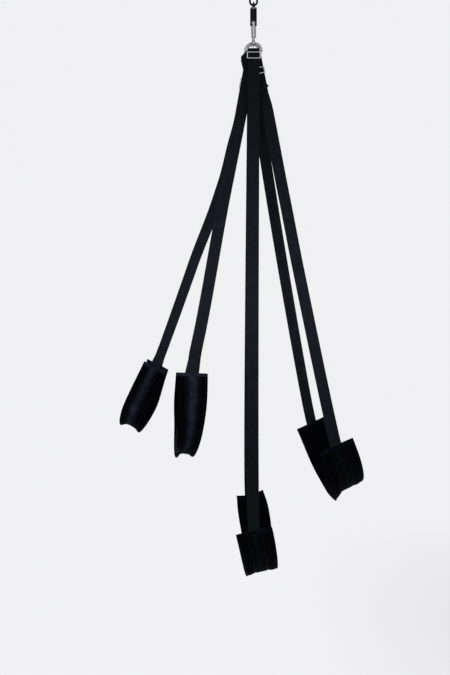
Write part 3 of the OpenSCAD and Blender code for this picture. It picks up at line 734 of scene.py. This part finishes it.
class Pad:
    """A padded band that follows a loop's line. Pairs give the front edge, then the rear one."""

    def __init__(self, name, width, thick, stiff, folds, bunch, curls, trim, swell):
        self.loop = LOOPS[name]
        self.name, self.body, self.node = f"{name}_padding", f"{name}_sling", f"{name}_pad"
        self.width, self.thick, self.stiff, self.swell = width, thick, stiff, swell
        self.folds, self.bunch, self.curls, self.trim = folds, bunch, curls, trim
        self.line = resample(self.loop.line, PITCH)
        t = tangents(self.line)
        self.normal = np.stack([t[:, 1], -t[:, 0]], 1)
        self.run = run_along(self.line)
        self.total = self.run[-1]

    def at(self, s, x, out):
        """A point s along the pad, x across it and out from its middle line."""
        c, n = self.centre(s)
        t = np.array([-n[1], n[0]])
        past = min(s, 0) + max(s - self.total, 0)
        across, drop, angle = self.fold(s, x)
        across -= math.copysign(math.sin(angle), x) * out
        drop += math.cos(angle) * out
        return self.loop.place(across, *(c + n * drop + t * past))

    def centre(self, s):
        c = np.array([np.interp(s, self.run, self.line[:, k]) for k in (0, 1)])
        return c, unit(np.array([np.interp(s, self.run, self.normal[:, k]) for k in (0, 1)]))

    def up(self, s, x=0.0):
        n = self.centre(s)[1] * math.cos(self.fold(s, x)[2])
        return aim(self.loop.m, [-math.copysign(math.sin(self.fold(s, x)[2]), x), n[0], n[1]])

    def fold(self, s, x):
        """Where a flat band's point goes: edges droop at the bottom and curl at the ends."""
        edge = 1 if x > 0 else 0
        free = self.width / 2 - self.stiff
        past = max(0.0, abs(x) - self.stiff)
        from_middle = abs(s - self.total / 2) / (self.loop.spread * self.total)
        low = math.exp(-from_middle ** SPREAD_POWER)
        ripple = 1.0 + RIPPLE * math.sin(s * 0.035 + (1.7 if edge else 0.2))
        turned = self.folds[edge] * low * ripple
        for run, curl in zip((s, self.total - s), self.curls):
            turned += END_CURL * math.exp(-(run / END_CURL_RUN) ** 2)
            turned += curl * math.exp(-(run / CURL_RUN) ** 2)
        full = math.radians(max(1.0, turned))
        radius = free / full
        angle = past / radius
        across = (min(abs(x), self.stiff) + radius * math.sin(angle)) * (1 - self.bunch[edge] * low)
        return math.copysign(across, x), radius * (1 - math.cos(angle)), angle

    def taper(self, s):
        d = max(0.0, min(s, self.total - s))
        return 0.45 + 0.55 * ease(min(1.0, d / TAPER_RUN))

    def columns(self):
        h = self.width / 2
        lobe = np.linspace(h - HEM, SEAM_OUT, max(3, int(round((h - HEM - SEAM_OUT) / 4.5)) + 1))
        centre = np.linspace(SEAM_IN, -SEAM_IN, 10)
        right = [h, h - HEM / 2, *lobe]
        return np.array([*right, *centre, *[-x for x in right[::-1]]])

    def faces_at(self, s, x):
        """Heights of the outer and inner face, before the pad is filled."""
        h, o, a = self.width / 2, self.thick / 2, abs(x)
        e = self.taper(s)
        if a >= h - 0.01:
            return 0.9, -0.9
        if a >= h - HEM:
            return EDGE_HALF, -EDGE_HALF
        if a >= SEAM_OUT:
            u = (a - SEAM_OUT) / (h - HEM - SEAM_OUT)
            return (o - 1.8) * (1 - u) + EDGE_HALF * u, -((o - 3.2) * (1 - u) + EDGE_HALF * u) * e
        return o - GROOVE_D - 0.1, -(o - 3.0) * e

    def build(self):
        xs = self.columns()
        k = len(xs)
        rows = len(self.run)
        vertices, uv, fixed, bulge = [], [], [], []
        for i, s in enumerate(self.run):
            end = i < 2 or i > rows - 3
            for face in (0, 1):
                for j, x in enumerate(xs if face == 0 else xs[::-1]):
                    vertices.append(self.at(s, x, self.faces_at(s, x)[face]))
                    uv.append((x, s))
                    a = abs(x)
                    seam = SEAM_IN - 0.1 <= a <= SEAM_OUT + 0.1
                    held = a >= self.width / 2 - HEM - 0.1 or seam or (face == 0 and a < SEAM_IN)
                    if held or end:
                        fixed.append(len(vertices) - 1)
                    bulge.append(self.soft(s, x, face, held or end))
        faces = []
        ring = 2 * k
        for i in range(rows - 1):
            for j in range(ring):
                a, b = i * ring + j, i * ring + (j + 1) % ring
                faces.append((a, b, b + ring, a + ring))
        for i in (0, rows - 1):
            for j in range(k - 1):
                a, b = i * ring + j, i * ring + j + 1
                c, d = i * ring + ring - 2 - j, i * ring + ring - 1 - j
                faces.append((a, d, c, b) if i == 0 else (a, b, c, d))
        obj = new_object(self.name, vertices, faces, uv, 50)
        fill(obj, fixed, bulge, self.swell)
        return obj

    def soft(self, s, x, face, held):
        """How far the filling would lift a point if no cloth were run."""
        if held:
            return 0.0
        a, h = abs(x), self.width / 2 - HEM
        u = (a - SEAM_OUT) / (h - SEAM_OUT) if a >= SEAM_OUT else 0.5 + a / SEAM_IN / 2
        ripple = 0.8 + 0.2 * math.sin(s * 0.13 + x * 0.05 + 2 * face)
        return math.sin(math.pi * min(1.0, max(0.0, u))) * ripple


FILL_FRAMES = 20


def fill(obj, fixed, bulge, swell):
    """Blows the pad up as cloth held at its seams, then rounds it off."""
    mesh = obj.data
    count = len(mesh.vertices)
    start = np.empty(count * 3)
    mesh.vertices.foreach_get("co", start)
    start = start.reshape(-1, 3)
    group = obj.vertex_groups.new(name="held")
    group.add(fixed, 1.0, "REPLACE")
    cloth = obj.modifiers.new("filling", "CLOTH")
    settings = cloth.settings
    settings.quality = 6
    settings.mass = 0.25
    settings.tension_stiffness = settings.compression_stiffness = 12
    settings.shear_stiffness = 6
    settings.bending_stiffness = 0.4
    settings.use_pressure = True
    settings.uniform_pressure_force = 4
    settings.shrink_min = -0.04
    settings.effector_weights.gravity = 0
    settings.vertex_group_mass = "held"
    cloth.collision_settings.use_collision = False
    for k in range(1, FILL_FRAMES + 1):
        scene.frame_set(k)
    shown = obj.evaluated_get(bpy.context.evaluated_depsgraph_get()).data
    after = np.empty(count * 3)
    shown.vertices.foreach_get("co", after)
    shift = after.reshape(-1, 3) - start
    obj.modifiers.remove(cloth)
    obj.vertex_groups.clear()
    scene.frame_set(1)
    far = np.linalg.norm(shift, axis=1)
    far[far == 0] = 1
    shift *= np.minimum(1, swell * MM / far)[:, None]
    mesh.vertices.foreach_set("co", (start + shift).ravel())
    mesh.update()
    smooth = obj.modifiers.new("rounding", "SUBSURF")
    smooth.levels = smooth.render_levels = 1


def strip(name, pad, stations, section):
    """A closed mesh along a pad; section(s) gives (across, outward) pairs round it."""
    rings = [section(s) for s in stations]
    k = len(rings[0])
    vertices, uv = [], []
    for s, ring in zip(stations, rings):
        for x, y in ring:
            vertices.append(pad.at(s, x, y))
            uv.append((x, s))
    faces = []
    for i in range(len(stations) - 1):
        for j in range(k):
            a, b = i * k + j, i * k + (j + 1) % k
            faces.append((a, b, b + k, a + k))
    faces.append(tuple(range(k - 1, -1, -1)))
    faces.append(tuple((len(stations) - 1) * k + j for j in range(k)))
    return new_object(name, vertices, faces, uv, 40)


def tunnel_section(pad, s):
    """The tape that covers the webbing, sewn down at both edges."""
    o = pad.thick / 2
    wave = 0.25 * math.sin(s * 0.11) + 0.15 * math.sin(s * 0.043 + 1)
    rise = [(TAPE_EDGE, o - 1.2), (SEAM_OUT, o - 0.9), (SEAM_IN, o - 0.6), (20, o + 0.5),
            (14, o + 0.95 + wave), (7, o + 1.0 - wave * 0.4)]
    top = rise + [(0, o + 1.0)] + [(-x, y) for x, y in rise[::-1]]
    return top + [(x, y - 0.55) for x, y in top[::-1]]


def hem_section(pad, s, side):
    """Binding folded round one edge."""
    h = pad.width / 2
    face = [(h - HEM - 1, EDGE_HALF + 0.75), (h - HEM / 2, EDGE_HALF + 0.7), (h - 0.6, 2.0),
            (h + 0.7, 1.0), (h + 1.0, 0)]
    outer = face + [(x, -y) for x, y in face[-2::-1]]
    inner = [(x - 0.7, y * 0.72) for x, y in outer[::-1]]
    ring = outer + inner
    return ring if side > 0 else [(-x, y) for x, y in ring[::-1]]


def end_section(pad, s):
    """A turned hem across a pad's end, over the tape and the webbing."""
    h, o, e = pad.width / 2, pad.thick / 2, pad.taper(s)
    outer = [(h + 0.8, 1.0), (h - 1, 2.7), (h - HEM, 3.0), (TAPE_EDGE + 3, o - 0.7), (SEAM_OUT, o),
             (19, o + 1.5), (7, o + 1.7)]
    outer = outer + [(-x, y) for x, y in outer[::-1]]
    low = [(h + 0.8, -1.0), (h - 1, -2.7), (h - HEM, -3.0), (SEAM_OUT, -(o - 2.4) * e - 0.6),
           (7, -(o - 1.6) * e - 0.7)]
    low = low + [(-x, y) for x, y in low[::-1]]
    return outer + low[::-1]


def dress(pad):
    """Tape, bindings, turned ends and stitches of one pad."""
    base = pad.name
    stations = np.linspace(2, pad.total - 2, int(pad.total / 4))
    tape = strip(f"{base}_tape", pad, stations, lambda s: tunnel_section(pad, s))
    finish_piece(tape, f"{pad.trim}_tape", pad.body)
    for side, word in ((-1, "front"), (1, "rear")):
        hem = strip(f"{base}_{word}_hem", pad, stations, lambda s: hem_section(pad, s, side))
        finish_piece(hem, "pad_cover", pad.body)
    for word, low, high in (("start", -1, END_HEM), ("finish", pad.total - END_HEM, pad.total + 1)):
        end = strip(f"{base}_{word}_hem", pad, np.linspace(low, high, 7),
                    lambda s: end_section(pad, s))
        finish_piece(end, f"{pad.trim}_hem", pad.body)
    o, h = pad.thick / 2, pad.width / 2
    sewn = Stitches()
    rows = [(21.9, o - 0.55), (24.2, o - 1.0), (h - HEM + 1.2, EDGE_HALF + 0.8)]
    along = np.linspace(END_HEM, pad.total - END_HEM, int(pad.total / 4))
    for x, y in rows:
        for side in (-1, 1):
            sewn.row([pad.at(s, side * x, y) for s in along],
                     [pad.up(s, side * x) for s in along])
    across = np.linspace(-h + 3, h - 3, 40)
    for s in (END_HEM - 2.0, pad.total - END_HEM + 2.0):
        heights = np.interp(np.abs(across), [0, 7, 19, SEAM_OUT, TAPE_EDGE + 3, h - HEM, h],
                            [o + 1.7, o + 1.7, o + 1.5, o, o - 0.7, 3.0, 2.0])
        sewn.row([pad.at(s, x, y) for x, y in zip(across, heights)],
                 [pad.up(s, x) for x in across])
    sewn.build(f"{base}_stitches", pad.body)


# The trim picks which copy of the hem and tape a pad takes: the leg copies are painted lighter and
# the seat copies darker, for how the light falls on the pads.
PADS = [
    Pad("seat", SEAT_PAD_W, PAD_T, stiff=8, folds=(26, 18), bunch=(0.1, 0.12), curls=(0, 52),
        trim="seat", swell=4.0),
    Pad("back", BACK_PAD_W, PAD_T, stiff=8, folds=(66, 10), bunch=(0.0, 0.06), curls=(0, 0),
        trim="seat", swell=4.0),
    Pad("left_leg", LEG_PAD_W, LEG_PAD_T, stiff=3, folds=(50, 44), bunch=(0.6, 0.2), curls=(0, 0),
        trim="leg", swell=3.0),
    Pad("right_leg", LEG_PAD_W, LEG_PAD_T, stiff=5, folds=(66, 46), bunch=(0.1, 0.05),
        curls=(0, 0), trim="leg", swell=3.0),
]
for pad in PADS:
    padding = finish_piece(pad.build(), "pad_cover", pad.body, pad.node, slot="pad_cover")
    dress(pad)

# ---------------------------------------------------------------- stage
# The wall stands far back, so that cameras behind the object are in front of it.
FLOOR_Z, WALL_Y, WALL_TOP, BEND, HALF_WIDE = -2.42, 9.0, 9.0, 3.0, 14.0
BEND_ANGLES = np.radians(np.arange(6, 91, 6))
profile = [(-HALF_WIDE, FLOOR_Z), (WALL_Y - BEND, FLOOR_Z)]
profile += [(WALL_Y - BEND + BEND * math.sin(a), FLOOR_Z + BEND - BEND * math.cos(a))
            for a in BEND_ANGLES]
profile += [(WALL_Y, WALL_TOP)]
sweep_mesh = bpy.data.meshes.new("backdrop")
sweep_mesh.from_pydata([(x, y, z) for y, z in profile for x in (-HALF_WIDE, HALF_WIDE)], [],
                       [(2 * i, 2 * i + 1, 2 * i + 3, 2 * i + 2) for i in range(len(profile) - 1)])
sweep_mesh.polygons.foreach_set("use_smooth", [True] * len(sweep_mesh.polygons))
backdrop = bpy.data.objects.new("backdrop", sweep_mesh)
scene.collection.objects.link(backdrop)

# Painted shade: the backdrop is a little darker towards the near right corner of the floor.
BACKDROP_COLOUR, CORNER_SHADE_LEVEL = (0.906, 0.906, 0.923), 0.89
CORNER_SHADE_FADES = ((0, 0.2, 1.0), (1, 1.7, 0.5))  # axis, and where along it the fade starts and ends
PAPER_COLOUR, SHOWN_SHARE = (0.80, 0.80, 0.81), 0.95
paper = bpy.data.materials.new("backdrop_paper")
paper.use_nodes = True
tree = paper.node_tree
tree.nodes.clear()
output = add_node(tree, "ShaderNodeOutputMaterial")
lit = add_node(tree, "ShaderNodeBsdfDiffuse", {"Color": (*PAPER_COLOUR, 1)})
plain = add_node(tree, "ShaderNodeEmission")
where = add_node(tree, "ShaderNodeTexCoord")
spot = add_node(tree, "ShaderNodeSeparateXYZ")
tree.links.new(where.outputs["Object"], spot.inputs[0])
corner = add_node(tree, "ShaderNodeMath", operation="MULTIPLY")
for axis, start, end in CORNER_SHADE_FADES:
    fade = add_node(tree, "ShaderNodeMapRange", {"From Min": start, "From Max": end})
    tree.links.new(spot.outputs[axis], fade.inputs["Value"])
    tree.links.new(fade.outputs["Result"], corner.inputs[axis])
falloff = add_node(tree, "ShaderNodeMix")
falloff.data_type = "RGBA"
for socket, level in zip(colour_sockets(falloff.inputs), (1.0, CORNER_SHADE_LEVEL)):
    socket.default_value = (*(c * level for c in BACKDROP_COLOUR), 1)
tree.links.new(corner.outputs[0], falloff.inputs["Factor"])
tree.links.new(colour_sockets(falloff.outputs)[0], plain.inputs["Color"])
path = add_node(tree, "ShaderNodeLightPath")
seen = add_node(tree, "ShaderNodeMath", operation="MAXIMUM")
tree.links.new(path.outputs["Is Camera Ray"], seen.inputs[0])
tree.links.new(path.outputs["Is Glossy Ray"], seen.inputs[1])
share = add_node(tree, "ShaderNodeMath", {1: SHOWN_SHARE}, "MULTIPLY")
tree.links.new(seen.outputs[0], share.inputs[0])
joined = add_node(tree, "ShaderNodeMixShader")
tree.links.new(share.outputs[0], joined.inputs[0])
tree.links.new(lit.outputs[0], joined.inputs[1])
tree.links.new(plain.outputs[0], joined.inputs[2])
tree.links.new(joined.outputs[0], output.inputs["Surface"])
sweep_mesh.materials.append(paper)

# Metal mirrors dark flags at the sides and a room that is brighter above. The camera sees a pale
# room, and everything else is lit by a dim one.
world = bpy.data.worlds.new("studio")
scene.world = world
world.use_nodes = True
tree = world.node_tree
room = tree.nodes["Background"]
room.inputs["Color"].default_value = (0.9, 0.9, 0.92, 1)
room.inputs["Strength"].default_value = 0.3
mirrored = add_node(tree, "ShaderNodeBackground", {"Color": (0.98, 0.98, 1.0, 1)})
pale = add_node(tree, "ShaderNodeBackground", {"Color": (0.86, 0.86, 0.875, 1)})
direction = add_node(tree, "ShaderNodeTexCoord")
parts = add_node(tree, "ShaderNodeSeparateXYZ")
sideways = add_node(tree, "ShaderNodeMath", operation="ABSOLUTE")
flags = add_node(tree, "ShaderNodeMapRange",
                 {"From Min": 0.3, "From Max": 0.75, "To Min": 1.0, "To Max": 0.12})
above = add_node(tree, "ShaderNodeMapRange",
                 {"From Min": 0.05, "From Max": 0.7, "To Min": 0.5, "To Max": 1.0})
glow = add_node(tree, "ShaderNodeMath", operation="MULTIPLY")
path = add_node(tree, "ShaderNodeLightPath")
either = add_node(tree, "ShaderNodeMixShader")
shown = add_node(tree, "ShaderNodeMixShader")
for source, target in (
        (direction.outputs["Generated"], parts.inputs[0]),
        (parts.outputs[0], sideways.inputs[0]),
        (sideways.outputs[0], flags.inputs["Value"]),
        (parts.outputs[2], above.inputs["Value"]),
        (flags.outputs["Result"], glow.inputs[0]),
        (above.outputs["Result"], glow.inputs[1]),
        (glow.outputs[0], mirrored.inputs["Strength"]),
        (path.outputs["Is Glossy Ray"], either.inputs[0]),
        (room.outputs[0], either.inputs[1]),
        (mirrored.outputs[0], either.inputs[2]),
        (path.outputs["Is Camera Ray"], shown.inputs[0]),
        (either.outputs[0], shown.inputs[1]),
        (pale.outputs[0], shown.inputs[2]),
        (shown.outputs[0], tree.nodes["World Output"].inputs["Surface"])):
    tree.links.new(source, target)


def soft_light(name, place_at, look_at, size, energy):
    data = bpy.data.lights.new(name, "AREA")
    data.shape = "RECTANGLE"
    data.size, data.size_y = size
    data.energy = energy
    lamp = bpy.data.objects.new(name, data)
    lamp.location = place_at
    lamp.visible_glossy = False
    away = Vector(place_at) - Vector(look_at)
    lamp.rotation_euler = away.to_track_quat("Z", "Y").to_euler()
    scene.collection.objects.link(lamp)


MIDDLE = (0, 0, -1.1)
soft_light("key", (-1.4, -2.0, -0.3), MIDDLE, size=(1.4, 1.4), energy=34)
soft_light("fill", (2.2, -1.9, -0.5), MIDDLE, size=(1.2, 1.6), energy=20)
soft_light("top", (0.2, 0.4, 1.9), MIDDLE, size=(2.0, 2.0), energy=36)

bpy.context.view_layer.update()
